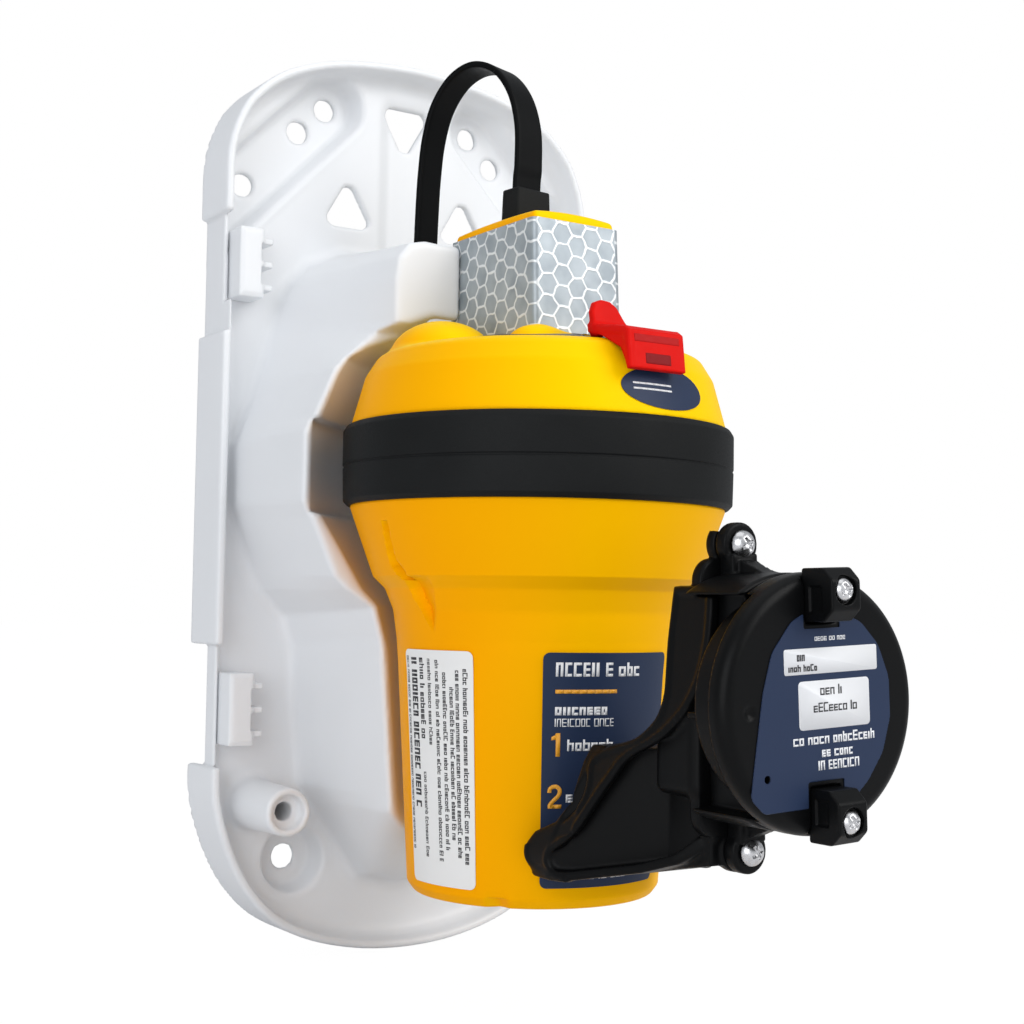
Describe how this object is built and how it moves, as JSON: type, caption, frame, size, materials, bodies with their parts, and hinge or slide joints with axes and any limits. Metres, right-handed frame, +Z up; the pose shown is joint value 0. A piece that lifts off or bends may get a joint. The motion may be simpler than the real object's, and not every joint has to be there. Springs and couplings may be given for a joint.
{
  "type": "emergency position beacon",
  "caption": "Float-free emergency position beacon on the open base of its wall housing, with folded whip aerial, break tab, keys and water-pressure release module.",
  "frame": {"origin": "centre of the whole object's footprint box at its lowest point: x = 0 is the mirror plane of the housing, z = 0 the lower edge of the base, y = 0.0964 the wall face", "axes": "+Z up the wall, -Y straight out of the wall towards the viewer, +X to the viewer's right"},
  "size_m": [0.1212, 0.1928, 0.2564],
  "materials": {
    "white_plastic": "satin moulded, cool white",
    "magnet_metal": "plated disc",
    "yellow_plastic": "fine satin moulded, warm yellow",
    "black_rubber": "matt",
    "diaphragm_rubber": "matt",
    "keypad_grey": "matt film",
    "key_red": "satin",
    "tab_red": "translucent gloss",
    "clear_lens": "clear",
    "reflective_film": "silver retro-reflective film with a honeycomb seal pattern",
    "brass": "turned",
    "board_green": "solder mask",
    "ceramic": "fired ceramic",
    "black_plastic": "satin moulded",
    "cell_sleeve": "shrink sleeve",
    "steel": "stainless",
    "navy_film": "printed film, navy",
    "paper_film": "printed film, white",
    "pin_plastic": "natural nylon"
  },
  "bodies": {
    "housing": {"housing_base": "white_plastic", "inhibit_magnet": "magnet_metal", "cover_catch_upper_left": "white_plastic", "cover_catch_upper_right": "white_plastic", "cover_catch_lower_left": "white_plastic", "cover_catch_lower_right": "white_plastic"},
    "antenna": {"antenna_whip": "black_rubber"},
    "break_tab": {"break_tab": "tab_red"},
    "activation_key": {"activation_key": "key_red"},
    "test_key": {"test_key": "keypad_grey"},
    "plunger": {"release_plunger": "steel", "cutter_blade": "steel"},
    "release": {"release_yoke": "black_plastic", "release_body": "black_plastic", "release_cap": "black_plastic", "cap_clamp_top": "black_plastic", "cap_clamp_bottom": "black_plastic", "clamp_screw_top": "steel", "clamp_screw_bottom": "steel", "ear_screw_top": "steel", "ear_screw_bottom": "steel", "release_label": "navy_film", "pressure_diaphragm": "diaphragm_rubber", "diaphragm_ring": "steel", "shear_pin": "pin_plastic", "release_spring": "steel"},
    "beacon": {"lower_case": "yellow_plastic", "upper_case": "yellow_plastic", "bumper_band": "black_rubber", "case_seal": "black_rubber", "antenna_boot": "black_rubber", "keypad_overlay": "keypad_grey", "led_lens": "clear_lens", "reed_switch": "clear_lens", "reflective_tape": "reflective_film", "antenna_socket": "brass", "board_post": "brass", "main_board": "board_green", "strobe_board": "board_green", "gnss_antenna": "ceramic", "battery_tray": "black_plastic", "battery_cell_1": "cell_sleeve", "battery_cell_2": "cell_sleeve", "battery_cell_3": "cell_sleeve", "water_contact_right": "steel", "water_contact_left": "steel", "case_screw_1": "steel", "case_screw_2": "steel", "case_screw_3": "steel", "case_screw_4": "steel", "front_label": "navy_film", "head_badge": "navy_film", "side_label": "paper_film"}
  },
  "joints": [
    {"name": "release_slide", "type": "slide", "parent": "housing", "child": "release", "axis": [0, -1, 0], "range_m": [0, 0.09]},
    {"name": "beacon_lift", "type": "slide", "parent": "housing", "child": "beacon", "axis": [0, -1, 0], "range_m": [0, 0.045]},
    {"name": "antenna_swing", "type": "hinge", "parent": "beacon", "child": "antenna", "pos_m": [0, 0.0224, 0.209], "axis": [0.9394, 0.3429, 0], "range_deg": [0, 60]},
    {"name": "break_tab_hinge", "type": "hinge", "parent": "beacon", "child": "break_tab", "pos_m": [0, -0.0331, 0.1537], "axis": [1, 0, 0], "range_deg": [0, 75]},
    {"name": "activation_press", "type": "slide", "parent": "beacon", "child": "activation_key", "axis": [0, 1, 0], "range_m": [0, 0.0015]},
    {"name": "test_press", "type": "slide", "parent": "beacon", "child": "test_key", "axis": [0, 0, -1], "range_m": [0, 0.0012]},
    {"name": "plunger_stroke", "type": "slide", "parent": "release", "child": "plunger", "axis": [0, 1, 0], "range_m": [0, 0.0026]}
  ],
  "couplings": [
    {"joint": "beacon_lift", "follows": "release_slide", "ratio": 0.5},
    {"joint": "antenna_swing", "follows": "release_slide", "rad_per_m": 11.63}
  ]
}
